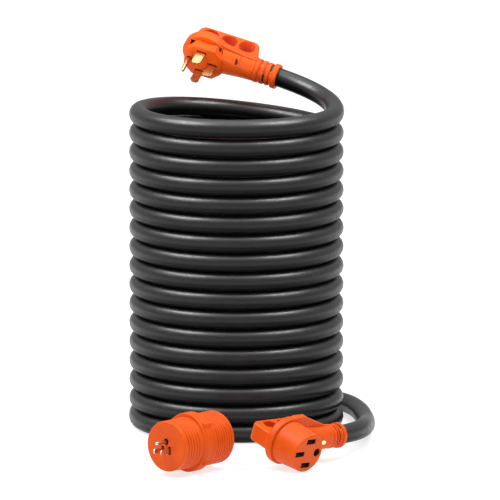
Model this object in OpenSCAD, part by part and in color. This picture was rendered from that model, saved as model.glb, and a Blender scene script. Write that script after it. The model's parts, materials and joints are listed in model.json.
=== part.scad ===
// Shore power cord: a stacked coil of heavy flexible cord with a four-blade grip plug,
// a four-slot grip connector and a loose straight adapter.
// Millimetres. +Z is up, +X is to the right, and the origin is on the floor at the coil's axis.

/* [Cord] */
// Outer diameter of the cord
cord_d = 26.5; // [20:0.5:30]
// Radius of the coil, from its axis to the middle of a turn
coil_r = 137; // [130:1:144]
// Height that one turn adds to the stack
turn_pitch = 26.7; // [26.6:0.1:27]
// Number of levels in the stack
levels = 17; // [17:1:17]

/* [Blades] */
// Distance between the two line blades
hot_spacing = 35; // [34:0.5:36]
// Distance between the ground pin and the neutral blade
ground_spacing = 34; // [33:0.5:35]
// Width of a blade
blade_w = 12.1; // [11:0.1:12.5]
// Thickness of a blade
blade_t = 1.9; // [1.5:0.1:2.2]
// Length of a blade in front of the face
blade_l = 24; // [20:0.5:26]
// Diameter of the ground pin
pin_d = 6.1; // [5.5:0.1:6.4]
// Length of the ground pin in front of the face
pin_l = 29; // [26:0.5:31]

/* [Grip fittings] */
// Length of the plug's face, along the cord
face_len = 56; // [52:1:60]
// Width of the plug's face
face_wid = 52; // [50:1:56]
// Radius of the round hood behind the plug's face
hood_r = 33; // [31:1:35]
// Radius of the connector's face
socket_r = 27.5; // [27:0.5:29]
// Height of the plug's grip bar above the middle of the cord
grip_h = 44; // [43:1:46]
// Thickness of the plug's grip
grip_t = 22; // [20:1:24]
// Height of the connector's grip bar above the middle of the cord
connector_grip_h = 49; // [46:1:51]
// Thickness of the connector's grip
connector_grip_t = 27; // [22:1:28]
// Outer radius of the ribbed strain relief
relief_r = 16.5; // [16:0.5:18]

/* [Adapter] */
// Length of the adapter's body
adapter_l = 100; // [96:1:110]
// Radius of the front half of the adapter
adapter_front_r = 35; // [33:0.5:36]
// Radius of the rear half of the adapter
adapter_rear_r = 36.5; // [36:0.5:37]

/* [Hidden] */
$fn = 48;

cord_r = cord_d / 2;
top_z = cord_r + (levels - 1) * turn_pitch;
hot_y = hot_spacing / 2;
ground_x = ground_spacing / 2;
gap = 0.15;
wall = 3.5;

// Where each fitting lies, and how it is turned.
// In a fitting's own frame +X runs along the cord away from the face, and +Z points to the grip.
plug_at = [-50.3, 133.3, 491.4];
plug_turn = [-59.5, 15, -16];
connector_at = [99, -356.5, 26.5];
connector_turn = [-73.5, 3, 47.5];
adapter_at = [-96, -386, 42];
adapter_turn = [0, 0, -132];

// Height of the cord's middle above each face, and the stations along the cord
plug_axis_z = 19;
connector_axis_z = 42;
neck_end = 76;
plug_relief_end = 110;
connector_neck_end = 80;
connector_relief_end = 107;

// Routes of the two free stretches of cord, from the fitting to the coil
plug_route = [[50, 121.5, 474.6], [58.7, 119.1, 472.2], [78, 111.5, 466.5], [95.4, 100.4, 461],
    [110.4, 86.1, 456], [122.5, 69.3, 451.5], [131, 50.5, 447.8], [135.4, 34, 445.2],
    [137.2, 14, 443], [136.8, -8, 441.4], [133, -33, 440.5]];
connector_route = [[135.2, -257.4, 33.3], [141.9, -250.1, 32.8], [155.2, -232.8, 32.2],
    [165.2, -213.5, 31.4], [171.8, -192.5, 30], [175.2, -169, 27.8], [177.3, -142, 24.8],
    [178.8, -113, 21], [179.7, -84, 17.5], [179.7, -55, 14.8], [178.6, -27, 13.6],
    [176.5, 2, 13.4], [172.5, 34, 13.4], [165.5, 66, 13.4], [154, 96, 13.4], [136.5, 123, 13.4],
    [113.5, 144, 13.4], [86, 158, 13.4], [56, 166, 13.4], [25, 168.5, 13.4], [-7, 167, 13.4],
    [-38, 161, 13.4], [-68, 149, 13.4], [-94, 130, 13.4], [-115, 104.5, 13.4],
    [-129, 75, 13.4], [-135.5, 44, 13.4], [-137.3, 15, 13.4]];

// ---------------------------------------------------------------- helpers

// Unit vector along v
function unit(v) = v / norm(v);

// Tangent of a route at point i
function tangent(p, i) = unit(p[min(i + 1, len(p) - 1)] - p[max(i - 1, 0)]);

// Two directions square to a tangent that isn't vertical
function side(t) = unit(cross([0, 0, 1], t));
function rise(t) = cross(t, side(t));

// One ring of n points, of radius r, around point i of a route
function ring(p, i, r, n) = [for (k = [0 : n - 1])
    p[i] + r * cos(360 * k / n) * side(tangent(p, i))
        + r * sin(360 * k / n) * rise(tangent(p, i))];

// A closed tube of radius r along the route p
module tube(p, r, n = 12) {
    rings = len(p);
    points = [for (i = [0 : rings - 1]) each ring(p, i, r, n)];
    sides = [for (i = [0 : rings - 2], k = [0 : n - 1])
        [i * n + k, i * n + (k + 1) % n, (i + 1) * n + (k + 1) % n, (i + 1) * n + k]];
    first = [[for (k = [n - 1 : -1 : 0]) k]];
    last = [[for (k = [0 : n - 1]) (rings - 1) * n + k]];
    polyhedron(points, concat(first, sides, last), convexity = 6);
}

// A cylinder along X from x0 to x1
module rod_x(x0, x1, r, y = 0, z = 0) {
    translate([x0, y, z]) rotate([0, 90, 0]) cylinder(h = x1 - x0, r = r);
}

// A block given by its middle in X and Y, and by its lowest Z
module block(size, at) {
    translate([at.x - size.x / 2, at.y - size.y / 2, at.z]) cube(size);
}

module at_plug() {
    translate(plug_at) rotate(plug_turn) children();
}

module at_connector() {
    translate(connector_at) rotate(connector_turn) children();
}

module at_adapter() {
    translate(adapter_at) rotate(adapter_turn) children();
}

// Keeps what is below, or above, height z
module below(z) {
    intersection() {
        children();
        block([400, 400, 200], [0, 0, z - 200]);
    }
}

module above(z) {
    intersection() {
        children();
        block([400, 400, 200], [0, 0, z]);
    }
}

// ---------------------------------------------------------------- cord

// The stack of turns, one bead a level, joined by a narrow web
module cord_coil() {
    web_w = 16;
    color("#1c1c1e") rotate_extrude($fn = 96) {
        for (k = [0 : levels - 1]) translate([coil_r, cord_r + k * turn_pitch]) circle(cord_r);
        translate([coil_r - web_w / 2, 0]) square([web_w, top_z]);
    }
}

module cord_tail_plug() {
    color("#1c1c1e") tube(plug_route, cord_r);
}

module cord_tail_connector() {
    color("#1c1c1e") tube(connector_route, cord_r);
}

// ---------------------------------------------------------------- parts of both fittings

// The tapering body from behind the face to the neck, around the cord's middle at height z
module neck_body(z, r, low, neck_x) {
    neck_r = 17;
    hull() {
        translate([8, 0, low]) cylinder(h = 2 * (z - low), r = r);
        rod_x(neck_x - 2, neck_x, neck_r, 0, z);
    }
}

// The grip: a rounded plate over the body, with three finger holes through it
finger_x = [-4, 24, 51];
finger_z = 29.5;
connector_finger_z = 32.5;
module grip_plate(z, height, thick) {
    corner_r = 11;
    foot = [-24, 69];
    head = [-14, 56];
    rotate([90, 0, 0]) translate([0, 0, -thick / 2]) hull() {
        for (x = foot) translate([x, z + 6]) cylinder(h = thick, r = 6);
        for (x = head) translate([x, z + height - corner_r]) cylinder(h = thick, r = corner_r);
    }
}

module finger_holes(z, thick) {
    half_w = 9.5;
    half_span = 1.5;
    for (x = finger_x, s = [-1, 1])
        translate([x + s * half_span, 0, z]) rotate([90, 0, 0])
            cylinder(h = 2 * thick, r = half_w, center = true);
    for (x = finger_x) block([2 * half_span, 2 * thick, 2 * half_w], [x, 0, z - half_w]);
}

// The ribbed strain relief around the end of the cord, with a window on each side
module strain_relief(x0, x1, z) {
    length = x1 - x0;
    rib_n = 3;
    rib_w = 2.4;
    groove_d = 1.6;
    step = (length - 12) / rib_n;
    color("#e8551a") difference() {
        rod_x(x0, x1, relief_r, 0, z);
        rod_x(x0 - 1, x1 - 9, cord_r - 2, 0, z);
        rod_x(x1 - 10, x1 + 1, cord_r + 0.1, 0, z);
        for (k = [0 : rib_n - 1]) difference() {
            rod_x(x0 + 4 + k * step, x0 + 4 + k * step + rib_w, relief_r + 1, 0, z);
            rod_x(x0, x1, relief_r - groove_d, 0, z);
        }
    }
}

// Wires: where each one runs in the neck, around the cord's middle
wire_r = 3.1;
bundle_r = 4.6;

// A line wire, from its barrel at side s to the neck
module line_wire(s, z, x1) {
    tube([[13, s * hot_y, z], [16, s * hot_y, z], [20, s * (hot_y - 0.8), z], [28, s * (hot_y - 4), z],
        [36, s * (hot_y - 8.2), z], [44, s * (hot_y - 11.4), z], [52, s * bundle_r, z],
        [x1, s * bundle_r, z]], wire_r);
}

// ---------------------------------------------------------------- plug

// An eight-sided block, inset by d from the boss that carries the blades
module eight_sided(d, low, high) {
    cut = 13 - 0.586 * d;
    x = face_len / 2 - d;
    y = face_wid / 2 - d;
    outline = [[x - cut, -y], [x, -y + cut], [x, y - cut], [x - cut, y], [cut - x, y],
        [-x, y - cut], [-x, cut - y], [cut - x, -y]];
    translate([3, 0, low]) linear_extrude(high - low) polygon(outline);
}

module plug_outline() {
    eight_sided(0, 0, 16);
    translate([0, 0, 9]) cylinder(h = 23, r = hood_r);
    neck_body(plug_axis_z, 25, 2, neck_end);
}

// The room inside the plug for its core, barrels and wires
module plug_room() {
    eight_sided(wall, 4, 12);
    block([46, 44, 17], [1, 0, 11]);
    hull() {
        block([1, 43, 17], [24, 0, 11]);
        rod_x(52, 53, 9.5, 0, plug_axis_z);
    }
    rod_x(50, neck_end + 1, 9.5, 0, plug_axis_z);
}

module blade_slots(depth, clear) {
    for (s = [-1, 1])
        block([blade_w + 2 * clear, blade_t + 2 * clear, depth + 1], [0, s * hot_y, -0.5]);
    block([blade_w + 2 * clear, blade_t + 2 * clear, depth + 1], [ground_x, 0, -0.5]);
    translate([-ground_x, 0, -0.5]) cylinder(h = depth + 1, r = pin_d / 2 + clear);
}

// A small lamp window: round in the plug's side, oval in the front of the connector's neck
plug_lens = [50, 0, plug_axis_z - 12];
module plug_lens_hole(r) {
    translate(plug_lens) rotate([90, 0, 0]) cylinder(h = 40, r = r);
}

connector_lens_x = 58;
module connector_lens_hole(r) {
    half_span = 1.2;
    depth = 31;
    for (s = [-1, 1]) translate([connector_lens_x + s * half_span, 0, 0])
        cylinder(h = depth, r = r);
    block([2 * half_span, 2 * r, depth], [connector_lens_x, 0, 0]);
}

module plug_housing() {
    color("#f26522") at_plug() difference() {
        below(plug_axis_z) plug_outline();
        plug_room();
        blade_slots(5, 0.9);
        plug_lens_hole(1.6);
    }
}

module plug_cover() {
    color("#f26522") at_plug() difference() {
        union() {
            above(plug_axis_z) plug_outline();
            above(plug_axis_z) grip_plate(plug_axis_z, grip_h, grip_t);
        }
        plug_room();
        finger_holes(plug_axis_z + finger_z, grip_t);
    }
}

module plug_core() {
    color("#2b2b2d") at_plug() difference() {
        eight_sided(wall + gap, 4 + gap, 10);
        translate([0, 0, 4]) blade_slots(8, 0.05);
    }
}

// A flat blade with bevelled tip, and a barrel for its wire at height z
module blade(z, barrel_x) {
    tip = 3;
    rotate([90, 0, 0]) translate([0, 0, -blade_t / 2]) linear_extrude(blade_t)
        polygon([[-blade_w / 2, -blade_l + tip], [-blade_w / 2 + tip, -blade_l],
            [blade_w / 2 - tip, -blade_l], [blade_w / 2, -blade_l + tip],
            [blade_w / 2, z - 3], [-blade_w / 2, z - 3]]);
    difference() {
        rod_x(barrel_x, barrel_x + 13, 3.9, 0, z);
        rod_x(barrel_x + 1, barrel_x + 14, wire_r - 0.7, 0, z);
    }
}

module plug_blade_x() {
    color("#c9a65b") at_plug() translate([0, -hot_y, 0]) blade(plug_axis_z, 0);
}

module plug_blade_y() {
    color("#c9a65b") at_plug() translate([0, hot_y, 0]) blade(plug_axis_z, 0);
}

module plug_blade_neutral() {
    color("#c9a65b") at_plug() translate([ground_x, 0, 0]) blade(plug_axis_z - bundle_r, -3);
}

module plug_ground_pin() {
    z = plug_axis_z + bundle_r;
    tip_r = pin_d / 2;
    shank_r = tip_r - 0.5;
    color("#c9a65b") at_plug() translate([-ground_x, 0, 0]) {
        translate([0, 0, tip_r - pin_l]) cylinder(h = pin_l - tip_r, r = tip_r);
        translate([0, 0, -1]) cylinder(h = z, r = shank_r);
        translate([0, 0, tip_r - pin_l]) sphere(tip_r);
        difference() {
            rod_x(-4, 9, 3.9, 0, z);
            rod_x(-3, 10, wire_r - 0.7, 0, z);
        }
    }
}

module plug_wire_x() {
    color("#202022") at_plug() line_wire(-1, plug_axis_z, neck_end);
}

module plug_wire_y() {
    color("#b5121b") at_plug() line_wire(1, plug_axis_z, neck_end);
}

module plug_wire_neutral() {
    color("#e8e8e4") at_plug()
        rod_x(ground_x + 10, neck_end, wire_r, 0, plug_axis_z - bundle_r);
}

module plug_wire_ground() {
    color("#1f7a3a") at_plug() rod_x(9 - ground_x, neck_end, wire_r, 0, plug_axis_z + bundle_r);
}

module plug_strain_relief() {
    at_plug() strain_relief(neck_end, plug_relief_end, plug_axis_z);
}

module plug_lamp_lens() {
    color("#5a1410") at_plug() intersection() {
        plug_lens_hole(1.5);
        neck_body(plug_axis_z, 25, 2, neck_end);
        block([20, 30, 30], [plug_lens.x, -25, 0]);
    }
}

// ---------------------------------------------------------------- connector

module connector_outline() {
    barrel_h = 40;
    flange_h = 9;
    flange_r = 34;
    ear = [[0, 16], [2, 32], [7, 36.5], [26, 36.5], [32, 33.5], [44, 25.5], [58, 19], [66, 12],
        [40, 10]];
    cylinder(h = barrel_h + 1, r1 = socket_r, r2 = socket_r + 3);
    translate([0, 0, barrel_h]) cylinder(h = flange_h, r = flange_r);
    for (s = [-1, 1]) translate([0, 0, barrel_h + 1])
        linear_extrude(flange_h - 2) polygon([for (p = ear) [p.x, s * p.y]]);
    neck_body(connector_axis_z, 24, 26, connector_neck_end);
}

module connector_room() {
    translate([0, 0, 4]) cylinder(h = 25, r = socket_r - wall);
    translate([0, 0, 28]) cylinder(h = 18, r = 23);
    block([16, 44.4, 12], [6, 0, 36]);
    block([38, 10, 11], [-4, 0, 41.5]);
    hull() {
        block([1, 44, 18], [14, 0, 32]);
        rod_x(52, 53, 9.5, 0, connector_axis_z);
    }
    rod_x(50, connector_neck_end + 1, 9.5, 0, connector_axis_z);
}

// The slots of a socket: wide mouths in its face, narrow slots in the core behind it
mouth = [17.2, 7.4];
slot = [13.4, 3.4];
ground_mouth_r = 6;
ground_hole_r = 4.6;
socket_pin_r = 3.1;
module socket_slots(depth, opening, hole_r) {
    size = [opening.x, opening.y, depth + 1];
    for (s = [-1, 1]) block(size, [0, s * hot_y, -0.5]);
    block(size, [-ground_x, 0, -0.5]);
    translate([ground_x, 0, -0.5]) cylinder(h = depth + 1, r = hole_r);
}

module connector_housing() {
    color("#f26522") at_connector() difference() {
        below(connector_axis_z) connector_outline();
        connector_room();
        socket_slots(5, mouth, ground_mouth_r);
        connector_lens_hole(2.5);
        block([10, 7, 4], [connector_lens_x, 0, 30.5]);
    }
}

module connector_cover() {
    color("#f26522") at_connector() difference() {
        union() {
            above(connector_axis_z) connector_outline();
            above(connector_axis_z) grip_plate(connector_axis_z, connector_grip_h, connector_grip_t);
        }
        connector_room();
        finger_holes(connector_axis_z + connector_finger_z, connector_grip_t);
    }
}

// The insulator, with a pocket for each contact
module connector_core() {
    pocket = [14.6, 8.4];
    color("#2b2b2d") at_connector() difference() {
        translate([0, 0, 4 + gap]) cylinder(h = 22, r = socket_r - wall - gap);
        translate([0, 0, 4]) socket_slots(4, slot, ground_hole_r);
        for (s = [-1, 1]) block([pocket.x, pocket.y, 22], [0, s * (hot_y - 1), 7]);
        block([pocket.x, pocket.y, 22], [-ground_x + 1.5, 0, 7]);
        translate([ground_x, 0, 7]) cylinder(h = 22, r = 4.7);
    }
}

// A two-leaf spring contact that stands over a blade slot, and its barrel at height z
module leaf_contact(z, barrel_x) {
    leaf_t = 0.9;
    foot_z = 23;
    for (s = [-1, 1]) block([11, leaf_t, foot_z - 8], [0, s * (blade_t / 2 + leaf_t / 2), 8]);
    block([11, blade_t + 2 * leaf_t, 2], [0, 0, foot_z]);
    block([7, 2, z - foot_z - 3], [0, 0, foot_z]);
    difference() {
        rod_x(barrel_x, barrel_x + 13, 3.9, 0, z);
        rod_x(barrel_x + 1, barrel_x + 14, wire_r - 0.7, 0, z);
    }
}

module connector_contact_x() {
    color("#c9a65b") at_connector() translate([0, -hot_y, 0]) leaf_contact(connector_axis_z, 0);
}

module connector_contact_y() {
    color("#c9a65b") at_connector() translate([0, hot_y, 0]) leaf_contact(connector_axis_z, 0);
}

module connector_contact_neutral() {
    color("#c9a65b") at_connector() translate([-ground_x, 0, 0])
        leaf_contact(connector_axis_z + bundle_r, -4);
}

module connector_contact_ground() {
    z = connector_axis_z - bundle_r;
    color("#c9a65b") at_connector() translate([ground_x, 0, 0]) {
        difference() {
            translate([0, 0, 8]) cylinder(h = 20, r = 4.3);
            translate([0, 0, 7]) cylinder(h = 18, r = socket_pin_r);
        }
        block([6, 2, z - 30], [0, 0, 27]);
        difference() {
            rod_x(-4, 9, 3.9, 0, z);
            rod_x(-3, 10, wire_r - 0.7, 0, z);
        }
    }
}

module connector_wire_x() {
    color("#202022") at_connector() line_wire(-1, connector_axis_z, connector_neck_end);
}

module connector_wire_y() {
    color("#b5121b") at_connector() line_wire(1, connector_axis_z, connector_neck_end);
}

module connector_wire_neutral() {
    color("#e8e8e4") at_connector()
        rod_x(9 - ground_x, connector_neck_end, wire_r, 0, connector_axis_z + bundle_r);
}

module connector_wire_ground() {
    color("#1f7a3a") at_connector()
        rod_x(ground_x + 9, connector_neck_end, wire_r, 0, connector_axis_z - bundle_r);
}

module connector_strain_relief() {
    at_connector() strain_relief(connector_neck_end, connector_relief_end, connector_axis_z);
}

module connector_lamp_lens() {
    color("#f7e7a0") at_connector() intersection() {
        connector_lens_hole(2.4);
        neck_body(connector_axis_z, 24, 26, connector_neck_end);
    }
}

module connector_lamp_board() {
    color("#2f6b3c") at_connector() block([9, 6, 1.2], [connector_lens_x, 0, 31.1]);
}

// ---------------------------------------------------------------- adapter

adapter_joint = -45;
adapter_wall = 3.5;
front_core = [-15, -4];
rear_core = [-adapter_l + 4, -adapter_l + 30];
small_blade_w = 6.35;
small_blade_t = 1.5;
small_blade_y = 6.35;
small_blade_z = -5.3;
small_pin_r = 2.38;
small_pin_z = 6.6;

// Turns a profile around the adapter's axis, which is local X
module turned() {
    rotate([0, 90, 0]) rotate_extrude() children();
}

// Ribbed half: a wall of radius r from x0 to x1 with n grooves between g0 and g1
module ribbed(x0, x1, r, g0, g1, n) {
    groove_w = 1.3;
    groove_d = 0.9;
    difference() {
        turned() translate([0, x0]) square([r, x1 - x0]);
        for (k = [0 : n - 1]) turned()
            translate([r - groove_d, g0 + (g1 - g0) * k / (n - 1)]) square([2, groove_w]);
    }
}

// The oval collar around the adapter's waist, as high as the adapter lies above the floor
module collar(x0, x1) {
    half_w = 36.8;
    translate([x0, 0, 0]) rotate([0, 90, 0]) linear_extrude(x1 - x0)
        polygon([for (a = [0 : 10 : 350]) [adapter_at.z * cos(a), half_w * sin(a)]]);
}

module adapter_front_shell() {
    color("#f26522") at_adapter() difference() {
        union() {
            ribbed(-38, 0, adapter_front_r, -31, -9, 5);
            collar(adapter_joint, adapter_joint + 7);
        }
        rod_x(adapter_joint - 1, front_core[1] + gap, adapter_front_r - adapter_wall);
        for (s = [-1, 1])
            translate([-5, s * small_blade_y - 1.9, small_blade_z - 5.5]) cube([10, 3.8, 11]);
        rod_x(-5, 5, small_pin_r + 1.9, 0, small_pin_z);
    }
}

module adapter_rear_shell() {
    waist_r = 35.5;
    waist_end = -60;
    color("#f26522") at_adapter() difference() {
        union() {
            ribbed(-adapter_l, waist_end, adapter_rear_r, -adapter_l + 6, waist_end - 6, 7);
            rod_x(waist_end - 1, adapter_joint, waist_r);
            collar(waist_end + 1, adapter_joint);
        }
        rod_x(rear_core[0] - gap, adapter_joint + 1, adapter_rear_r - 5.5);
        translate([-adapter_l, 0, 0]) rotate([0, 90, 0]) rotate([0, 0, 180])
            socket_slots(5, mouth, ground_mouth_r);
    }
}

module adapter_blade_core() {
    color("#2b2b2d") at_adapter() difference() {
        rod_x(front_core[0], front_core[1], adapter_front_r - adapter_wall - gap);
        for (s = [-1, 1]) translate([-20, s * small_blade_y, small_blade_z])
            block([60, small_blade_t + 0.1, small_blade_w + 0.1],
                [0, 0, -small_blade_w / 2 - 0.05]);
        rod_x(-20, 0, small_pin_r + 0.05, 0, small_pin_z);
    }
}

// A thin flat blade for a household outlet, at side s
module small_blade(s) {
    tip = 1.6;
    w = small_blade_w / 2;
    length = 17.5;
    translate([0, s * small_blade_y + small_blade_t / 2, small_blade_z]) rotate([90, 0, 0])
        linear_extrude(small_blade_t) polygon([[-22, -w], [length - tip, -w],
            [length, -w + tip], [length, w - tip], [length - tip, w], [-22, w]]);
}

module adapter_blade_hot() {
    color("#b9b9b4") at_adapter() small_blade(-1);
}

module adapter_blade_neutral() {
    color("#b9b9b4") at_adapter() small_blade(1);
}

module adapter_ground_pin() {
    length = 20.5;
    shank_r = small_pin_r - 0.3;
    color("#b9b9b4") at_adapter() {
        rod_x(-20, 1, shank_r, 0, small_pin_z);
        rod_x(0, length - small_pin_r, small_pin_r, 0, small_pin_z);
        translate([length - small_pin_r, 0, small_pin_z]) sphere(small_pin_r);
    }
}

// The rear socket's own frame: its face is the end of the adapter and its grip side points in
module at_socket() {
    translate([-adapter_l, 0, 0]) rotate([0, 90, 0]) rotate([0, 0, 180]) children();
}

module adapter_contact_core() {
    pocket = [14.6, 6.4];
    color("#2b2b2d") at_adapter() at_socket() difference() {
        translate([0, 0, 4]) cylinder(h = 26, r = adapter_rear_r - 5.5 - gap);
        socket_slots(12, slot, ground_hole_r);
        for (s = [-1, 1]) block([pocket.x, pocket.y, 30], [0, s * hot_y, 9]);
        block([pocket.x, pocket.y, 30], [-ground_x, 0, 9]);
        translate([ground_x, 0, 9]) cylinder(h = 30, r = 4.7);
    }
}

// A two-leaf spring contact with a short tail
module short_contact() {
    leaf_t = 0.9;
    foot_z = 26;
    for (s = [-1, 1]) block([11, leaf_t, foot_z - 10], [0, s * (blade_t / 2 + leaf_t / 2), 10]);
    block([11, blade_t + 2 * leaf_t, 2], [0, 0, foot_z]);
    block([6, 1.5, 12], [0, 0, foot_z]);
}

module adapter_contact_x() {
    color("#c9a65b") at_adapter() at_socket() translate([0, -hot_y, 0]) short_contact();
}

module adapter_contact_y() {
    color("#c9a65b") at_adapter() at_socket() translate([0, hot_y, 0]) short_contact();
}

module adapter_contact_neutral() {
    color("#c9a65b") at_adapter() at_socket() translate([-ground_x, 0, 0]) short_contact();
}

module adapter_contact_ground() {
    color("#c9a65b") at_adapter() at_socket() translate([ground_x, 0, 0]) {
        difference() {
            translate([0, 0, 10]) cylinder(h = 18, r = 4.3);
            translate([0, 0, 9]) cylinder(h = 17, r = socket_pin_r);
        }
        block([6, 1.5, 10], [0, 0, 28]);
    }
}

// Straps between the small blades and the socket's contacts. tail_x is where a contact's tail ends.
tail_x = -adapter_l + 38;
strap_t = 1.6;

module adapter_hot_bus() {
    bar_x = -30;
    color("#c98a4b") at_adapter() {
        translate([bar_x, -hot_y - 3, 1]) cube([strap_t, hot_spacing + 6, 5]);
        translate([bar_x, -small_blade_y - 3, -8]) cube([strap_t, 6, 10]);
        translate([bar_x, -small_blade_y - small_blade_t / 2, -8]) cube([8 - gap, small_blade_t, 5]);
        for (s = [-1, 1])
            translate([tail_x, s * hot_y - 3, 1]) cube([bar_x - tail_x + strap_t, 6, strap_t]);
    }
}

module adapter_neutral_link() {
    bar_x = -38;
    color("#c98a4b") at_adapter() {
        translate([bar_x, -3, -ground_x - 2]) cube([strap_t, small_blade_y + 5, 17]);
        translate([bar_x, small_blade_y - small_blade_t / 2, -8])
            cube([16 - gap, small_blade_t, 5]);
        translate([tail_x, -3, -ground_x - strap_t / 2]) cube([bar_x - tail_x + 1, 6, strap_t]);
    }
}

module adapter_ground_link() {
    bar_x = -22;
    color("#c98a4b") at_adapter() {
        translate([bar_x, -3, small_pin_z - 3]) cube([strap_t, 6, ground_x - small_pin_z + 5]);
        translate([tail_x, -3, ground_x - strap_t / 2]) cube([bar_x - tail_x + 1, 6, strap_t]);
    }
}

cord_coil();
cord_tail_plug();
cord_tail_connector();
plug_housing();
plug_cover();
plug_core();
plug_blade_x();
plug_blade_y();
plug_blade_neutral();
plug_ground_pin();
plug_wire_x();
plug_wire_y();
plug_wire_neutral();
plug_wire_ground();
plug_strain_relief();
plug_lamp_lens();
connector_housing();
connector_cover();
connector_core();
connector_contact_x();
connector_contact_y();
connector_contact_neutral();
connector_contact_ground();
connector_wire_x();
connector_wire_y();
connector_wire_neutral();
connector_wire_ground();
connector_strain_relief();
connector_lamp_lens();
connector_lamp_board();
adapter_front_shell();
adapter_rear_shell();
adapter_blade_core();
adapter_blade_hot();
adapter_blade_neutral();
adapter_ground_pin();
adapter_contact_core();
adapter_contact_x();
adapter_contact_y();
adapter_contact_neutral();
adapter_contact_ground();
adapter_hot_bus();
adapter_neutral_link();
adapter_ground_link();
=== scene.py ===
"""Shore power cord: the looks of its coil, plug, connector and adapter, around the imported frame."""
import json
import math

import bpy
import numpy as np
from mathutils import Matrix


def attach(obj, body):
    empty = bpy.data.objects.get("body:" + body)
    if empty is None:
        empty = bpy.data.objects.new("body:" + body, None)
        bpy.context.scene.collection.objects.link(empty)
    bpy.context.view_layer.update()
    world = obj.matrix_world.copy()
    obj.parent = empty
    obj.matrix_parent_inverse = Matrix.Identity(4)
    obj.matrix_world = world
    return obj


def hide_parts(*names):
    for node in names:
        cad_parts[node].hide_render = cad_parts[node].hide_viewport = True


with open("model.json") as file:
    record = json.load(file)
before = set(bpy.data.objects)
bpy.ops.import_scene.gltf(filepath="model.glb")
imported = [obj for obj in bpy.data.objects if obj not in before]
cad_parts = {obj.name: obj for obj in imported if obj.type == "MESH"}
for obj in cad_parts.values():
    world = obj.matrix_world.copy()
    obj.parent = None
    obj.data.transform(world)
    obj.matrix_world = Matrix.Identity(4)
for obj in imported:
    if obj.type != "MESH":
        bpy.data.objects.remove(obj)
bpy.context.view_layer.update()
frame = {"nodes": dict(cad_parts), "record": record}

import openvdb
from mathutils import Matrix, Vector

MM = 0.001
record = frame["record"]
scene = bpy.context.scene


# ---------------------------------------------------------------- camera

SENSOR = 36.0
EYE_DISTANCE = 20.0
EYE_RISE = math.radians(9.9)
VIEW_WIDTH = 0.69625
TARGET = Vector((0.01894, 0.0, 0.2477))


def make_camera():
    data = bpy.data.cameras.new("eye")
    data.sensor_width = SENSOR
    data.lens = SENSOR * EYE_DISTANCE / VIEW_WIDTH
    data.clip_start, data.clip_end = 0.5, 600.0
    eye = bpy.data.objects.new("eye", data)
    back = Vector((0.0, -math.cos(EYE_RISE), math.sin(EYE_RISE)))
    eye.location = TARGET + back * EYE_DISTANCE
    eye.rotation_mode = "QUATERNION"
    eye.rotation_quaternion = (-back).to_track_quat("-Z", "Y")
    scene.collection.objects.link(eye)
    scene.camera = eye


make_camera()


# ---------------------------------------------------------------- places, from the record

mounts = {m["name"]: m for m in record["mounts"]}
openings = {o["name"]: o["box_m"] for o in record["physics"]["openings"]}


def point(name):
    return Vector(mounts[name]["pos_m"])


def heading(name):
    return Vector(mounts[name]["axis"]).normalized()


def axes_at(origin, x, z):
    """The matrix of a frame with its x near x and its z exactly along z."""
    x = (x - x.dot(z) * z).normalized()
    y = z.cross(x)
    m = Matrix((x, y, z)).transposed().to_4x4()
    m.translation = origin
    return m


def middle(box):
    return (Vector(box[0]) + Vector(box[1])) / 2


# In the plug and the connector, x runs along the cord away from the face and z towards the grip.
# In the adapter, x runs out of the front face and z is up.
PLUG = axes_at(point("plug_face"), point("plug_face") - point("plug_ground_pin"), -heading("plug_face"))
CONNECTOR = axes_at(
    point("connector_face"),
    middle(openings["connector_ground_hole"]) - point("connector_face"),
    -heading("connector_face"),
)
ADAPTER = axes_at(point("adapter_front"), heading("adapter_front"), Vector((0, 0, 1)))


# ---------------------------------------------------------------- cord

CORD_D = 0.0265
COIL_R = 0.137
PITCH = 0.0267
LEVELS = 17
FLOOR_Z = CORD_D / 2
RAMP_FROM, RAMP_TO = 40.0, 168.0
RAMP_EASE = 0.35
COIL_FROM, COIL_TO = 178.0, 327.0

# The free stretches, in millimetres, from each fitting to the coil
PLUG_ROUTE = [
    (50, 121.5, 474.6), (58.7, 119.1, 472.2), (78, 111.5, 466.5), (95.4, 100.4, 461),
    (110.4, 86.1, 456), (122.5, 69.3, 451.5), (131, 50.5, 447.8), (135.4, 34, 445.2),
    (137.2, 14, 443), (136.8, -8, 441.4), (133, -33, 440.5),
]
CONNECTOR_ROUTE = [
    (135.2, -257.4, 33.3), (141.9, -250.1, 32.8), (155.2, -232.8, 32.2), (165.2, -213.5, 31.4),
    (171.8, -192.5, 30), (175.2, -169, 27.8), (177.3, -142, 24.8), (178.8, -113, 21),
    (179.7, -84, 17.5), (179.7, -55, 14.8), (178.6, -27, 13.6), (176.5, 2, 13.4),
    (172.5, 34, 13.4), (165.5, 66, 13.4), (154, 96, 13.4), (136.5, 123, 13.4),
    (113.5, 144, 13.4), (86, 158, 13.4), (56, 166, 13.4), (25, 168.5, 13.4), (-7, 167, 13.4),
    (-38, 161, 13.4), (-68, 149, 13.4), (-94, 130, 13.4), (-115, 104.5, 13.4),
    (-129, 75, 13.4), (-135.5, 44, 13.4), (-137.3, 15, 13.4),
]


def climb(turns):
    """The middle line's height after so many turns from angle 0: level in front, one pitch up behind."""
    level = math.floor(turns)
    u = ((turns - level) * 360 - RAMP_FROM) / (RAMP_TO - RAMP_FROM)
    u = min(max(u, 0.0), 1.0)
    return FLOOR_Z + PITCH * (level + u - RAMP_EASE * math.sin(math.tau * u) / math.tau)


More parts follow.
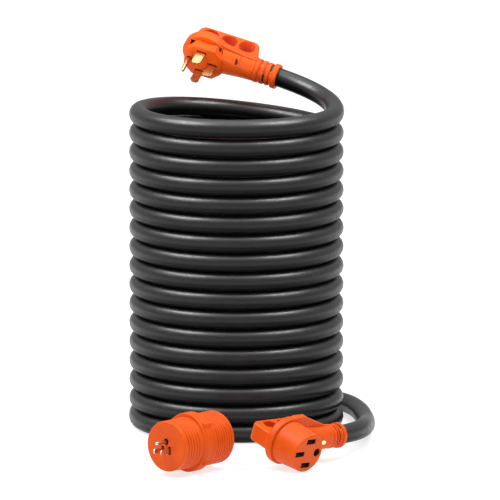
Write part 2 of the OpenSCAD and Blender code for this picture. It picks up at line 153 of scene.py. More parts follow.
def coil_points(step):
    """The coil's turns, from the bottom to the top, one point every few degrees."""
    last = (LEVELS - 1) * 360 + COIL_TO
    count = round((last - COIL_FROM) / step)
    points = []
    for i in range(count + 1):
        angle = COIL_FROM + (last - COIL_FROM) * i / count
        a = math.radians(angle)
        points.append((COIL_R * math.cos(a), COIL_R * math.sin(a), climb(angle / 360 - 1)))
    return np.array(points)


def eased(points, step=0.006):
    """A smooth line through points, with a point every step metres (centripetal Catmull-Rom)."""
    p = np.vstack([2 * points[0] - points[1], points, 2 * points[-1] - points[-2]])
    t = np.concatenate([[0], np.cumsum(np.sqrt(np.linalg.norm(np.diff(p, axis=0), axis=1)))])
    line = []
    for i in range(1, len(p) - 2):
        n = max(1, round(np.linalg.norm(p[i + 1] - p[i]) / step))
        for s in np.linspace(t[i], t[i + 1], n, endpoint=False):
            a1 = mix(p[i - 1], p[i], t[i - 1], t[i], s)
            a2 = mix(p[i], p[i + 1], t[i], t[i + 1], s)
            a3 = mix(p[i + 1], p[i + 2], t[i + 1], t[i + 2], s)
            b1 = mix(a1, a2, t[i - 1], t[i + 1], s)
            b2 = mix(a2, a3, t[i], t[i + 2], s)
            line.append(mix(b1, b2, t[i], t[i + 1], s))
    line.append(p[-2])
    return np.array(line)


def mix(a, b, ta, tb, t):
    return ((tb - t) * a + (t - ta) * b) / (tb - ta)


def settled(line, passes=12, held=3):
    """The line with small kinks evened out; its ends stay where they are."""
    for _ in range(passes):
        before, after = line[held - 1:-held - 1], line[held + 1:-held + 1 or None]
        line[held:-held] += 0.5 * ((before + after) / 2 - line[held:-held])
    return line


low_run = np.array(CONNECTOR_ROUTE) * MM
high_run = np.array(PLUG_ROUTE[::-1]) * MM
cord_line = settled(eased(np.vstack([low_run, coil_points(8.0), high_run])))


def make_cord():
    curve = bpy.data.curves.new("cord", "CURVE")
    curve.dimensions = "3D"
    curve.bevel_depth = 1.0
    curve.bevel_resolution = 6
    curve.use_fill_caps = True
    spline = curve.splines.new("POLY")
    spline.points.add(len(cord_line) - 1)
    spline.points.foreach_set("co", np.c_[cord_line, np.ones(len(cord_line))].ravel())
    spline.points.foreach_set("radius", np.full(len(cord_line), CORD_D / 2))
    spline.use_smooth = True
    cord = bpy.data.objects.new("cord", curve)
    scene.collection.objects.link(cord)
    return cord


cord = make_cord()
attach(cord, "cord_set")
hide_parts("cord_coil", "cord_tail_plug", "cord_tail_connector")


# ---------------------------------------------------------------- shapes as distances, in millimetres

def length(*parts):
    return np.sqrt(sum(a * a for a in parts))


def join(a, b, k):
    """The union of two shapes, with a fillet of about k."""
    h = np.clip(0.5 + 0.5 * (b - a) / k, 0, 1)
    return b * (1 - h) + a * h - k * h * (1 - h)


def common(a, b, k):
    """Where two shapes meet, with an edge rounded by about k."""
    return -join(-a, -b, k)


def cut(a, b, k=0.01):
    """Shape a without shape b, with an edge rounded by about k."""
    return -join(-a, b, k)


def rounded(u, v, edge):
    """The distance of a shape that is the meeting of two outlines, with its edge rounded."""
    u, v = u + edge, v + edge
    return np.minimum(np.maximum(u, v), 0) + length(np.maximum(u, 0), np.maximum(v, 0)) - edge


def drum(axial, radial, start, end, r, edge, r_end=None):
    """A turned disc or cone between two stations, with rounded rims."""
    t = np.clip((axial - start) / (end - start), 0, 1)
    wide = r if r_end is None else r + (r_end - r) * t
    return rounded(np.abs(axial - (start + end) / 2) - (end - start) / 2, radial - wide, edge)


def slab(x, y, z, low, high, edge):
    """A block from low to high with rounded edges."""
    d = [np.abs(a - (l + h) / 2) - (h - l) / 2 + edge for a, l, h in zip((x, y, z), low, high)]
    inside = np.minimum(np.maximum(np.maximum(d[0], d[1]), d[2]), 0)
    return inside + length(*(np.maximum(a, 0) for a in d)) - edge


def capsule_plate(u, v, points, r):
    """The distance in a plane of the rounded outline around a convex chain of points."""
    inside = None
    near = None
    count = len(points)
    for i in range(count):
        a, b = points[i], points[(i + 1) % count]
        du, dv = b[0] - a[0], b[1] - a[1]
        size = math.hypot(du, dv)
        t = np.clip(((u - a[0]) * du + (v - a[1]) * dv) / size ** 2, 0, 1)
        far = length(u - a[0] - t * du, v - a[1] - t * dv)
        beyond = ((u - a[0]) * dv - (v - a[1]) * du) / size
        near = far if near is None else np.minimum(near, far)
        inside = beyond if inside is None else np.maximum(inside, beyond)
    return np.where(inside < 0, np.maximum(inside, -near), near) - r


def loft(along, across, up, stations):
    """A tapering body. Each station is (place, half width, half height, squareness)."""
    place = [s[0] for s in stations]
    w, h, n = (np.interp(along, place, [s[i] for s in stations]).astype(np.float32) for i in (1, 2, 3))
    around = ((np.abs(across) / w) ** n + (np.abs(up) / h) ** n) ** (1 / n)
    skin = (around - 1) * np.minimum(w, h)
    ends = np.abs(along - (place[0] + place[-1]) / 2) - (place[-1] - place[0]) / 2
    return rounded(skin, ends, 0.8)


def grooved(axial, radial, body, first, step, count, wide, deep, r):
    """The body with turned grooves of one width and depth below radius r."""
    nearest = np.clip(np.round((axial - first) / step), 0, count - 1)
    groove = np.maximum(np.abs(axial - first - nearest * step) - wide / 2, r - deep - radial)
    return cut(body, groove, 0.35)


def mould(name, shape, low, high, place, cell):
    """A mesh of the shape's surface, set in its fitting's frame."""
    axes = [np.arange(l - 2 * cell, h + 3 * cell, cell, dtype=np.float32) for l, h in zip(low, high)]
    values = shape(*np.meshgrid(*axes, indexing="ij")).astype(np.float32)
    grid = openvdb.FloatGrid()
    grid.copyFromArray(values)
    points, quads = grid.convertToQuads(0.0)
    start = np.array([a[0] for a in axes])
    points = start + np.asarray(points, float) * cell
    for _ in range(3):
        points = on_surface(shape, points, cell)
    v = points[quads]
    volume = np.einsum("ij,ij->", v[:, 0], np.cross(v[:, 1] - v[:, 0], v[:, 2] - v[:, 0]))
    if volume < 0:
        quads = quads[:, ::-1]
    mesh = bpy.data.meshes.new(name)
    world_points = np.c_[points * MM, np.ones(len(points))] @ np.array(place).T
    mesh.vertices.add(len(points))
    mesh.vertices.foreach_set("co", world_points[:, :3].ravel())
    mesh.loops.add(4 * len(quads))
    mesh.loops.foreach_set("vertex_index", quads.ravel())
    mesh.polygons.add(len(quads))
    mesh.polygons.foreach_set("loop_start", np.arange(0, 4 * len(quads), 4))
    mesh.update(calc_edges=True)
    mesh.validate()
    mesh.shade_smooth()
    piece = bpy.data.objects.new(name, mesh)
    scene.collection.objects.link(piece)
    return piece


def on_surface(shape, points, cell):
    """The points moved along the shape's slope onto its surface, by less than a cell."""
    step = 0.05
    p = [points[:, i] for i in range(3)]
    value = shape(*p)
    slope = np.stack([
        (shape(*[a + step * (i == j) for j, a in enumerate(p)])
         - shape(*[a - step * (i == j) for j, a in enumerate(p)])) / (2 * step)
        for i in range(3)
    ], axis=1)
    size = np.maximum((slope ** 2).sum(axis=1), 0.05)
    move = -slope * (value / size)[:, None]
    far = np.linalg.norm(move, axis=1)
    return points + move * np.minimum(1, 0.6 * cell / np.maximum(far, 1e-9))[:, None]


# ---------------------------------------------------------------- shapes of both fittings

PLUG_GRIP = ((-17.5, 6.0), (64.0, 6.0), (56.5, 32.0), (-12.0, 32.0))
CONNECTOR_GRIP = ((-21.5, 6.0), (64.0, 6.0), (57.5, 36.0), (-17.5, 36.0))
GRIP_R = 11.0
PLUG_HALF = 11.0
CONNECTOR_HALF = 13.0
FINGERS = (-4.0, 24.0, 51.0)
PLUG_FINGER_UP = 29.5
CONNECTOR_FINGER_UP = 32.5
FINGER_R = 8.8
FINGER_SPAN = 2.4
HOT_Y = 17.5
GROUND_X = 17.0
MOUTH = (8.4, 3.6)
MOUTH_R = 5.7
MOUTH_DEPTH = 6


def grip(x, y, up, chain, half):
    """The rounded plate over the body; up is measured from the cord's middle."""
    return rounded(capsule_plate(x, up, chain, GRIP_R), np.abs(y) - half, 4.0)


def finger_rooms(d, x, y, up, middle_up, half):
    """The body with its three finger holes: a crisp rim above, and a scooped one below."""
    low = np.clip((middle_up + 3 - up) / 9, 0, 1)
    rim = 1.6 + 4.4 * low * low * (3 - 2 * low)
    for at in FINGERS:
        hole = length(np.maximum(np.abs(x - at) - FINGER_SPAN, 0), up - middle_up) - FINGER_R
        scoop = length((x - at) / 1.15, (up - middle_up + 4) / 1.1, np.abs(y) - half - 4) - 8.2
        d = cut(cut(d, scoop, 3.0), hole, rim)
    return d


def slots(d, x, y, z, half, hole_x, hole_r, blade_x, depth, edge=0.4):
    """Three blade slots and a round hole in a face at z = 0."""
    for cx, cy in ((0, -HOT_Y), (0, HOT_Y), (blade_x, 0)):
        low, high = (cx - half[0], cy - half[1], -3), (cx + half[0], cy + half[1], depth)
        d = cut(d, slab(x, y, z, low, high, 0.2), edge)
    return cut(d, drum(z, length(x - hole_x, y), -3, depth, hole_r, 0.2), edge)


# ---------------------------------------------------------------- plug

PLUG_UP = 19.0
PLUG_NECK = 76.0
HOOD_R = 33.0
HOOD_Z = 9.0
BOSS_H = 16.0
PLUG_RELIEF_END = 110.0
PLUG_SLOT = (6.95, 1.85)
PLUG_HOLE_R = 3.95
SEAM_GAP = 0.15
PLUG_NECK_SHAPE = ((6, 24, 17, 3.2), (34, 19.5, 17.2, 2.3), (60, 17, 16.8, 2), (PLUG_NECK, 16.4, 16.4, 2))
PLUG_SKIRT_SHAPE = ((4, 28, 15.5, 3), (30, 23.5, 17, 2.6), (58, 18.5, 18, 2.1), (PLUG_NECK, 17.2, 17.2, 2))


def eight_sided(x, y, z, inset, low, high, edge=1.2):
    """An eight-sided block, inset from the boss behind the blades."""
    sides = None
    for nx, ny, far in ((1, 0, 28), (0, 1, 26), (0.7071, 0.7071, 29)):
        d = nx * np.abs(x - 3) + ny * np.abs(y) - far + inset
        sides = d if sides is None else common(sides, d, edge)
    return rounded(sides, np.abs(z - (low + high) / 2) - (high - low) / 2, edge)


def plug_room(x, y, z):
    """The room inside the plug for its core and its wires."""
    room = slab(x, y, z, (-22, -22, 11), (24, 22, 28), 0.5)
    taper = loft(x, y, z - PLUG_UP, ((20, 20, 8, 4), (52, 9.5, 9.5, 2), (PLUG_NECK + 3, 9.5, 9.5, 2)))
    return np.minimum(np.minimum(room, taper), eight_sided(x, y, z, 3.5, 4, 12, 0.3))


def plug_lower(x, y, z):
    """The boss and the lower half of the neck, up to the hood's edge and the parting plane."""
    neck = loft(x, y, z - PLUG_UP, PLUG_NECK_SHAPE)
    neck = cut(neck, np.maximum(np.abs(x - 54) - 0.6, 16.4 - length(y, z - PLUG_UP)), 0.4)
    neck = common(neck, np.maximum(z - PLUG_UP, HOOD_R + 0.3 - length(x, y)) + SEAM_GAP, 0.4)
    low_neck = common(loft(x, y, z - PLUG_UP, PLUG_NECK_SHAPE), z - HOOD_Z + SEAM_GAP, 0.4)
    d = join(np.minimum(neck, low_neck), eight_sided(x, y, z, 0, 0, BOSS_H), 0.6)
    d = cut(d, plug_room(x, y, z))
    d = cut(d, drum(-y, length(x - 50, z - 7), 0, 40, 1.6, 0.1), 0.5)
    return slots(d, x, y, z, PLUG_SLOT, -GROUND_X, PLUG_HOLE_R, GROUND_X, MOUTH_DEPTH)


def plug_upper(x, y, z):
    """The hood, the upper half of the neck and the grip."""
    up = z - PLUG_UP
    around = length(x, y)
    hood = drum(z, around, HOOD_Z, 34, HOOD_R, 4.5, HOOD_R - 2)
    hood = np.minimum(hood, drum(z, around, HOOD_Z, 28, HOOD_R, 1.2))
    skirt = loft(x, y, up, PLUG_SKIRT_SHAPE)
    d = join(join(hood, skirt, 4.0), grip(x, y, up, PLUG_GRIP, PLUG_HALF), 5.0)
    d = finger_rooms(d, x, y, up, PLUG_FINGER_UP, PLUG_HALF)
    d = common(d, np.minimum(PLUG_UP - z, np.maximum(around - HOOD_R - 0.1, HOOD_Z - z)) + SEAM_GAP, 0.4)
    d = cut(d, eight_sided(x, y, z, -0.3, -1, BOSS_H + 0.3))
    return cut(d, plug_room(x, y, z))


# ---------------------------------------------------------------- connector

CONNECTOR_UP = 42.0
CONNECTOR_NECK = 80.0
SEAM = 40.4
FLANGE_R = 34.0
CONNECTOR_RELIEF_END = 105.0
LENS_X = 58.0
CONNECTOR_NECK_SHAPE = ((6, 23, 16, 3), (40, 18, 16.6, 2.3), (CONNECTOR_NECK, 16.4, 16.4, 2))
CONNECTOR_SKIRT_SHAPE = (
    (4, 25, 15, 3), (40, 20.5, 17, 2.5), (66, 17.8, 17.6, 2), (CONNECTOR_NECK, 17.0, 17.0, 2))


def connector_room(x, y, z):
    """The room inside the connector for its core and its wires."""
    up = z - CONNECTOR_UP
    barrel = drum(z, length(x, y), 4, 47, 23.8, 0.5)
    taper = loft(x, y, up, ((10, 21.5, 9, 4), (52, 9.5, 9.5, 2), (CONNECTOR_NECK + 3, 9.5, 9.5, 2)))
    return np.minimum(barrel, taper)


def connector_lower(x, y, z):
    """The barrel and the lower half of the neck, up to the flange and the parting plane."""
    around = length(x, y)
    up = z - CONNECTOR_UP
    barrel = drum(z, around, 0, 60, 27.5, 1.4, 32.0)
    neck = loft(x, y, up, CONNECTOR_NECK_SHAPE)
    d = join(barrel, neck, 2.5)
    d = common(d, np.maximum(up, np.minimum(FLANGE_R + 0.4 - around, z - SEAM)) + SEAM_GAP, 0.4)
    d = cut(d, connector_room(x, y, z))
    lens = length(np.maximum(np.abs(x - LENS_X) - 1.2, 0), y) - 2.55
    d = cut(d, np.maximum(lens, z - 33), 0.5)
    return slots(d, x, y, z, MOUTH, GROUND_X, MOUTH_R, -GROUND_X, MOUTH_DEPTH, 0.6)


def ears(x, y, z):
    """The two lugs on the flange, each with a shoulder that runs back to the neck."""
    out = np.abs(y)
    lug = capsule_plate(x, out, ((6, 18), (28, 16), (27, 32), (8, 32)), 3.0)
    shoulder = capsule_plate(x, out, ((24, 12), (74, 8), (74, 14), (29, 30.5)), 2.5)
    lug = rounded(lug, np.abs(z - 45.8) - 5.4, 1.4)
    shoulder = rounded(shoulder, np.abs(z - 46.2) - 4.4, 1.4)
    return join(lug, shoulder, 1.5)


def connector_upper(x, y, z):
    """The flange with its lugs, the crown, the upper half of the neck and the grip."""
    up = z - CONNECTOR_UP
    around = length(x, y)
    flange = drum(z, around, SEAM, 51.5, FLANGE_R, 2.2)
    crown = drum(z, around, SEAM, 57, 31.0, 4.0, 27.0)
    skirt = loft(x, y, up, CONNECTOR_SKIRT_SHAPE)
    d = join(join(crown, skirt, 4.0), grip(x, y, up, CONNECTOR_GRIP, CONNECTOR_HALF), 5.0)
    d = finger_rooms(d, x, y, up, CONNECTOR_FINGER_UP, CONNECTOR_HALF)
    d = join(d, flange, 1.5)
    d = join(d, ears(x, y, z), 1.2)
    d = common(d, np.minimum(-up, np.maximum(around - FLANGE_R - 8, SEAM - z)) + SEAM_GAP, 0.4)
    return cut(d, connector_room(x, y, z))


# ---------------------------------------------------------------- strain reliefs

WINDOW_FLOOR = 14.1


def relief(x0, x1, up):
    """A sleeve around the cord from x0 to x1: four rings, with grooves and blind windows between them."""
    grooves = 3
    ring = (x1 - x0 - 9) / grooves
    first = x0 + 3.5

    def shape(x, y, z):
        h = z - up
        around = length(y, h)
        wide = np.interp(x, (x0, x1 - 12, x1 - 7, x1), (17.2, 16.2, 17.6, 17.8)).astype(np.float32)
        d = rounded(np.abs(x - (x0 + x1) / 2) - (x1 - x0) / 2, around - wide, 1.6)
        for k in range(grooves):
            at = first + ring * (k + 0.5)
            gap = 1.4 + 0.5 * (k == 2)
            groove = np.maximum(np.abs(x - at) - gap, wide - 1.9 - around)
            d = cut(d, groove, 0.7)
            window = np.maximum(np.abs(x - at) - gap, WINDOW_FLOOR - around)
            quarter = np.abs(y if k % 2 else h) - 7.5
            d = cut(d, np.maximum(window, quarter), 0.4)
        d = cut(d, drum(x, around, x0 - 5, x0 + 8.5, 11.2, 0.1))
        return cut(d, drum(x, around, x0 + 7, x1 + 5, 13.3, 0.1), 1.2)

    return shape


# ---------------------------------------------------------------- adapter

ADAPTER_L = 100.0
FRONT_R = 35.0
REAR_R = 36.5
COLLAR_SPLIT = -45.0
SMALL_BLADE_Y = 6.35
SMALL_PIN_Z = 6.6


def collar(x, y, z, start, end):
    """The oval collar around the adapter's waist, taller than it is wide."""
    oval = (length(y / 36.8, z / 41.0) - 1) * 37.5
    return rounded(np.abs(x - (start + end) / 2) - (end - start) / 2, oval, 1.3)


def adapter_front(x, y, z):
    """The grooved front half, the front of the collar, and openings for the blades and the pin."""
    around = length(y, z)
    d = drum(x, around, -43, 0, FRONT_R, 1.8)
    d = grooved(x, around, d, -31, 5.5, 5, 1.5, 1.2, FRONT_R)
    d = join(d, collar(x, y, z, COLLAR_SPLIT, -40), 1.0)
    d = cut(d, drum(x, around, -46, -3.85, 31.5, 0.3))
    for side in (-1, 1):
        at = side * SMALL_BLADE_Y
        d = cut(d, slab(x, y, z, (-6, at - 1.9, -10.8), (3, at + 1.9, 0.2), 0.2), 0.4)
    return cut(d, drum(x, length(y, z - SMALL_PIN_Z), -6, 3, 4.28, 0.1), 0.5)


def adapter_rear(x, y, z):
    """The grooved rear half, the waist, the back of the collar, four screw seats and the socket."""
    around = length(y, z)
    d = drum(x, around, -ADAPTER_L, -60, REAR_R, 1.8)
    waist = drum(x, around, -64, COLLAR_SPLIT, 35.5, 0.6)
    d = grooved(x, around, join(d, waist, 1.5), -94, 4.66, 7, 1.5, 1.2, REAR_R)
    d = join(d, collar(x, y, z, -57, COLLAR_SPLIT), 1.5)
    screw_seat = drum(x, length(np.abs(y) - 27.5, np.abs(z) - 26.5), -60, COLLAR_SPLIT, 3.8, 1.6)
    d = join(d, screw_seat, 2.0)
    d = cut(d, drum(x, around, -96.15, -40, 31.0, 0.3))
    return slots(d, z, y, x + ADAPTER_L, MOUTH, GROUND_X, MOUTH_R, -GROUND_X, MOUTH_DEPTH, 0.6)


# ---------------------------------------------------------------- moulded pieces

def shell(name, shape, low, high, place, body, node, cell=0.8):
    """Moulds a shell between two corners of its fitting's frame, and puts it in its node's place."""
    piece = mould(name, shape, low, high, place, cell)
    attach(piece, body)
    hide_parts(node)
    return piece


plug_lower_piece = shell(
    "plug_lower_shell", plug_lower, (-34, -34, 0), (77, 34, 20), PLUG, "cord_set", "plug_housing")
plug_upper_piece = shell(
    "plug_upper_shell", plug_upper, (-38, -35, 18), (80, 35, 64), PLUG, "cord_set", "plug_cover")
plug_sleeve = shell(
    "plug_sleeve", relief(PLUG_NECK, PLUG_RELIEF_END, PLUG_UP),
    (75, -18, 1), (111, 18, 37), PLUG, "cord_set", "plug_strain_relief", cell=0.5)
connector_lower_piece = shell(
    "connector_lower_shell", connector_lower, (-33, -33, 0), (81, 33, 43),
    CONNECTOR, "cord_set", "connector_housing")
connector_upper_piece = shell(
    "connector_upper_shell", connector_upper, (-38, -43, 39), (81, 43, 92),
    CONNECTOR, "cord_set", "connector_cover")
connector_sleeve = shell(
    "connector_sleeve", relief(CONNECTOR_NECK, CONNECTOR_RELIEF_END, CONNECTOR_UP),
    (79, -18, 24), (106, 18, 60), CONNECTOR, "cord_set", "connector_strain_relief", cell=0.5)
adapter_front_piece = shell(
    "adapter_front_half", adapter_front, (-46, -38, -43), (0, 38, 43),
    ADAPTER, "adapter", "adapter_front_shell", cell=0.7)
adapter_rear_piece = shell(
    "adapter_rear_half", adapter_rear, (-101, -38, -43), (-44, 38, 43),
    ADAPTER, "adapter", "adapter_rear_shell", cell=0.7)
PLUG_SHELLS = [plug_lower_piece, plug_upper_piece, plug_sleeve]
CONNECTOR_SHELLS = [connector_lower_piece, connector_upper_piece, connector_sleeve]
ADAPTER_SHELLS = [adapter_front_piece, adapter_rear_piece]


# ---------------------------------------------------------------- materials

def material(name, color, roughness, metallic=0.0):
    m = bpy.data.materials.new(name)
    m.use_nodes = True
    nodes, links = m.node_tree.nodes, m.node_tree.links
    shader = nodes["Principled BSDF"]
    shader.inputs["Base Color"].default_value = (*color, 1)
    shader.inputs["Roughness"].default_value = roughness
    shader.inputs["Metallic"].default_value = metallic
    return m, nodes, links, shader


def coordinates(nodes, links, stretch=(1, 1, 1)):
    place = nodes.new("ShaderNodeTexCoord")
    turn = nodes.new("ShaderNodeMapping")
    turn.inputs["Scale"].default_value = stretch
    links.new(place.outputs["Object"], turn.inputs["Vector"])
    return turn.outputs["Vector"]


def noise(nodes, links, vector, scale, detail, rough=0.55):
    n = nodes.new("ShaderNodeTexNoise")
    n.inputs["Scale"].default_value = scale
    n.inputs["Detail"].default_value = detail
    n.inputs["Roughness"].default_value = rough
    links.new(vector, n.inputs["Vector"])
    return n.outputs["Fac"]


def spread(nodes, links, value, low, high, start=0.3, end=0.7):
    n = nodes.new("ShaderNodeMapRange")
    n.inputs["From Min"].default_value = start
    n.inputs["From Max"].default_value = end
    n.inputs["To Min"].default_value = low
    n.inputs["To Max"].default_value = high
    links.new(value, n.inputs["Value"])
    return n.outputs["Result"]


def blended(nodes, links, factor, a, b):
    n = nodes.new("ShaderNodeMix")
    n.data_type = "RGBA"
    for socket, value in (("A", a), ("B", b)):
        target = [i for i in n.inputs if i.name == socket and i.type == "RGBA"][0]
        if isinstance(value, tuple):
            target.default_value = (*value, 1)
        else:
            links.new(value, target)
    links.new(factor, n.inputs["Factor"])
    return [o for o in n.outputs if o.type == "RGBA"][0]


def bumped(nodes, links, shader, height, strength, distance):
    n = nodes.new("ShaderNodeBump")
    n.inputs["Strength"].default_value = strength
    n.inputs["Distance"].default_value = distance
    links.new(height, n.inputs["Height"])
    links.new(n.outputs["Normal"], shader.inputs["Normal"])


def moulded(name, color, deep, pale, roughness, grain=900.0, bump=0.12, worn=False, specular=0.5):
    """Moulded plastic or rubber: fine grain, slight mottling, and paler worn edges where asked."""
    m, nodes, links, shader = material(name, color, roughness)
    place = coordinates(nodes, links)
    tone = spread(nodes, links, noise(nodes, links, place, 38.0, 4.0), 0, 1)
    shade = blended(nodes, links, tone, deep, color)
    if worn:
        shape = nodes.new("ShaderNodeNewGeometry")
        edge = spread(nodes, links, shape.outputs["Pointiness"], 0, 0.35, 0.57, 0.68)
        shade = blended(nodes, links, edge, shade, pale)
    links.new(shade, shader.inputs["Base Color"])
    smear = noise(nodes, links, place, 120.0, 5.0, 0.6)
    links.new(spread(nodes, links, smear, roughness - 0.05, roughness + 0.07), shader.inputs["Roughness"])
    bumped(nodes, links, shader, noise(nodes, links, place, grain, 4.0, 0.6), bump, 0.0002)
    shader.inputs["Specular IOR Level"].default_value = specular
    return m


def metal(name, color, dull, roughness, stretch):
    """Drawn sheet metal: fine lines along its length, and duller patches."""
    m, nodes, links, shader = material(name, color, roughness, 1.0)
    place = coordinates(nodes, links, stretch)
    lines = noise(nodes, links, place, 900.0, 5.0, 0.7)
    mottle = noise(nodes, links, coordinates(nodes, links), 90.0, 4.0)
    patches = spread(nodes, links, mottle, 0, 1, 0.35, 0.75)
    links.new(blended(nodes, links, patches, color, dull), shader.inputs["Base Color"])
    links.new(spread(nodes, links, lines, roughness - 0.08, roughness + 0.12), shader.inputs["Roughness"])
    bumped(nodes, links, shader, lines, 0.15, 0.0001)
    return m


def painted_sheen_from_above(m, low, high):
    """A painted sheen: the shine is stronger where the surface faces up than where it faces down, standing
    in for light from above.
    """
    nodes, links = m.node_tree.nodes, m.node_tree.links
    parts = nodes.new("ShaderNodeSeparateXYZ")
    links.new(nodes.new("ShaderNodeNewGeometry").outputs["Normal"], parts.inputs["Vector"])
    level = spread(nodes, links, parts.outputs["Z"], low, high, -0.35, 0.45)
    links.new(level, nodes["Principled BSDF"].inputs["Specular IOR Level"])


ORANGE = moulded(
    "orange moulding", (0.72, 0.086, 0.001), (0.64, 0.070, 0.001), (0.88, 0.19, 0.03), 0.44,
    worn=True, specular=0.2)
RUBBER = moulded(
    "cord jacket", (0.007, 0.007, 0.008), (0.004, 0.004, 0.005), (0.05, 0.05, 0.05), 0.36,
    grain=1500.0, bump=0.06)
# Painted sheen on the cord jacket: stronger shine on its upward faces.
painted_sheen_from_above(RUBBER, 0.10, 0.78)
BLACK = moulded(
    "black insulator and painted shade", (0.022, 0.021, 0.022), (0.014, 0.014, 0.015), (0.06, 0.06, 0.06), 0.50)
BRASS = metal("brass", (0.78, 0.60, 0.30), (0.50, 0.33, 0.14), 0.27, (1, 1, 0.06))
NICKEL = metal("nickel plate", (0.74, 0.72, 0.69), (0.52, 0.50, 0.47), 0.24, (0.06, 1, 1))
COPPER = metal("copper strap", (0.78, 0.40, 0.24), (0.46, 0.20, 0.11), 0.33, (1, 0.06, 1))
WIRE_COLORS = {
    "x": (0.015, 0.015, 0.016),
    "y": (0.48, 0.012, 0.016),
    "neutral": (0.78, 0.77, 0.72),
    "ground": (0.014, 0.20, 0.045),
}
WIRES = {
    k: moulded("wire insulation " + k, c, tuple(0.8 * v for v in c), c, 0.42, grain=1400.0, bump=0.05)
    for k, c in WIRE_COLORS.items()
}
BOARD = moulded(
    "circuit board", (0.02, 0.13, 0.04), (0.012, 0.08, 0.025), (0.3, 0.3, 0.2), 0.38,
    grain=700.0, bump=0.2)
DARK_LENS = moulded(
    "dark lamp lens", (0.16, 0.012, 0.008), (0.08, 0.006, 0.005), (0.3, 0.1, 0.1), 0.14, bump=0.02)
LAMP = moulded("lit lamp lens", (0.95, 0.86, 0.48), (0.92, 0.78, 0.36), (1, 1, 0.8), 0.2, bump=0.03)
lamp_shader = LAMP.node_tree.nodes["Principled BSDF"]
lamp_shader.inputs["Emission Color"].default_value = (1.0, 0.86, 0.42, 1)
lamp_shader.inputs["Emission Strength"].default_value = 0.9

for piece in PLUG_SHELLS + CONNECTOR_SHELLS + ADAPTER_SHELLS:
    piece.data.materials.append(ORANGE)


# Painted shade in openings starts at this depth, in millimetres.
PAINTED_SHADE_FROM = 0.45
MOUTH_BOX_DEPTH = 4.3


def paint_mouth_shade(piece, place, depth_of, mouths):
    """Paints shade into openings: walls past a small depth get the black material; a mouth is the (low,
    high) box around one.
    """
    piece.data.materials.append(BLACK)
    mesh = piece.data
    centres = np.empty(3 * len(mesh.polygons))
    mesh.polygons.foreach_get("center", centres)
    back = np.array(place.inverted())
    local = np.c_[centres.reshape(-1, 3), np.ones(len(mesh.polygons))] @ back.T * 1000
    inside = np.zeros(len(local), bool)
    for low, high in mouths:
        inside |= np.all((local[:, :3] > low) & (local[:, :3] < high), axis=1)
    inside &= depth_of(local) > PAINTED_SHADE_FROM
    mesh.polygons.foreach_set("material_index", inside.astype(np.int32))


def mouths_of(half, hole_x, hole_r, blade_x):
    """The boxes around three blade slots and a round hole in a face at z = 0."""
    places = ((0, -HOT_Y, *half), (0, HOT_Y, *half), (blade_x, 0, *half), (hole_x, 0, hole_r, hole_r))
    return [
        ((cx - hx - 0.5, cy - hy - 0.5, -1), (cx + hx + 0.5, cy + hy + 0.5, MOUTH_BOX_DEPTH))
        for cx, cy, hx, hy in places
    ]


# Painted shade: the walls of the blade slots, pin holes and the sleeves' blind windows get the black
# material.
plug_mouths = mouths_of(PLUG_SLOT, -GROUND_X, PLUG_HOLE_R, GROUND_X)
socket_mouths = mouths_of(MOUTH, GROUND_X, MOUTH_R, -GROUND_X)
paint_mouth_shade(plug_lower_piece, PLUG, lambda p: p[:, 2], plug_mouths)
paint_mouth_shade(connector_lower_piece, CONNECTOR, lambda p: p[:, 2], socket_mouths)
for sleeve, place, up in ((plug_sleeve, PLUG, PLUG_UP), (connector_sleeve, CONNECTOR, CONNECTOR_UP)):
    paint_mouth_shade(
        sleeve, place, lambda p: WINDOW_FLOOR + 0.9 - length(p[:, 1], p[:, 2] - up),
        [((84, -15, up - 15), (103, 15, up + 15))])
adapter_front_mouths = [
    ((-4.2, -8.8, -11.4), (1, -3.9, 0.8)),
    ((-4.2, 3.9, -11.4), (1, 8.8, 0.8)),
    ((-4.2, -4.9, 1.8), (1, 4.9, 11.5)),
]
adapter_rear_mouths = [
    ((low[2] - ADAPTER_L, low[1], low[0]), (high[2] - ADAPTER_L, high[1], high[0]))
    for low, high in socket_mouths
]
paint_mouth_shade(adapter_front_piece, ADAPTER, lambda p: -p[:, 0], adapter_front_mouths)
paint_mouth_shade(adapter_rear_piece, ADAPTER, lambda p: p[:, 0] + ADAPTER_L, adapter_rear_mouths)
cord.data.materials.append(RUBBER)


NICKEL_NODES = ("adapter_blade_hot", "adapter_blade_neutral", "adapter_ground_pin")


def finish_for(node):
    """The material of a CAD node, from its name."""
    if "_wire_" in node:
        return WIRES[node.split("_")[-1]]
    if node == "connector_lamp_board":
        return BOARD
    if node.endswith("lamp_lens"):
        return LAMP if node.startswith("connector") else DARK_LENS
    if node.endswith("_core"):
        return BLACK
    if node.endswith("_bus") or node.endswith("_link"):
        return COPPER
    if "blade_" in node or "_pin" in node or "contact_" in node:
        return NICKEL if node in NICKEL_NODES else BRASS
    return RUBBER if node.startswith("cord") else ORANGE


for name, node in frame["nodes"].items():
    node.data.materials.clear()
    node.data.materials.append(finish_for(name))


# ---------------------------------------------------------------- the plug's remaining nodes

REPLACED_IN_PLUG = ("plug_housing", "plug_cover", "plug_strain_relief")
PLUG_NODES = [n for n in frame["nodes"] if n.startswith("plug_") and n not in REPLACED_IN_PLUG]


# ---------------------------------------------------------------- floor and light

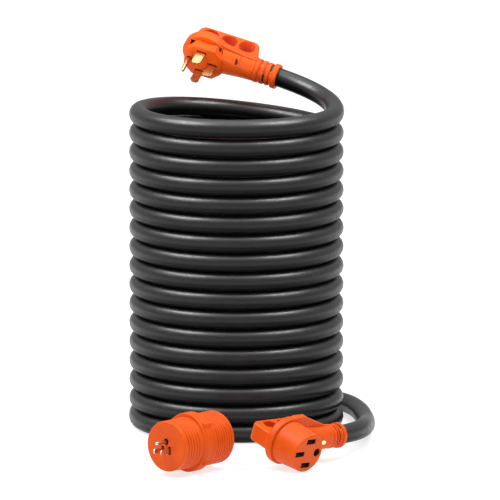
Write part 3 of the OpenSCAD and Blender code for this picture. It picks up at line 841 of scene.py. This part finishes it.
def make_floor():
    half = 380.0
    corners = [(-half, -half, 0), (half, -half, 0), (half, half, 0), (-half, half, 0)]
    mesh = bpy.data.meshes.new("floor")
    mesh.from_pydata(corners, [], [(0, 1, 2, 3)])
    floor = bpy.data.objects.new("floor", mesh)
    scene.collection.objects.link(floor)
    m, _, _, shader = material("pale floor", (0.35, 0.35, 0.35), 0.8)
    shader.inputs["Emission Color"].default_value = (1, 1, 1, 1)
    shader.inputs["Emission Strength"].default_value = 0.72
    shader.inputs["Specular IOR Level"].default_value = 0.1
    mesh.materials.append(m)


def softbox(name, at, aim, width, height, power):
    data = bpy.data.lights.new(name, "AREA")
    data.shape = "RECTANGLE"
    data.size, data.size_y = width, height
    data.energy = power
    lamp = bpy.data.objects.new(name, data)
    lamp.location = at
    lamp.rotation_mode = "QUATERNION"
    lamp.rotation_quaternion = (Vector(aim) - Vector(at)).to_track_quat("-Z", "Y")
    scene.collection.objects.link(lamp)
    return lamp


def make_world():
    world = bpy.data.worlds.new("studio")
    scene.world = world
    world.use_nodes = True
    sky = world.node_tree.nodes["Background"]
    sky.inputs["Color"].default_value = (1, 1, 1, 1)
    sky.inputs["Strength"].default_value = 0.42


def make_overhead():
    """A very soft light straight from above."""
    overhead = bpy.data.objects.new("overhead", bpy.data.lights.new("overhead", "SUN"))
    overhead.data.energy = 1.6
    overhead.data.angle = math.radians(75)
    scene.collection.objects.link(overhead)


def make_card():
    """A soft light on the plug alone, which the photograph shows lit from below."""
    card = softbox("card under the plug", (-0.25, -0.75, 0.30), PLUG.translation, 0.9, 0.6, 13.0)
    lit = bpy.data.collections.new("lit by the card")
    for piece in PLUG_SHELLS + [frame["nodes"][n] for n in PLUG_NODES]:
        lit.objects.link(piece)
    card.light_linking.receiver_collection = lit


COIL_MIDDLE = (0, 0, 0.25)
make_floor()
make_world()
softbox("left box", (-1.75, -0.2, 2.75), COIL_MIDDLE, 1.8, 1.3, 75)
softbox("right box", (1.40, -0.3, 2.75), COIL_MIDDLE, 1.2, 1.3, 52)
make_overhead()
make_card()
scene.view_settings.view_transform = "Standard"
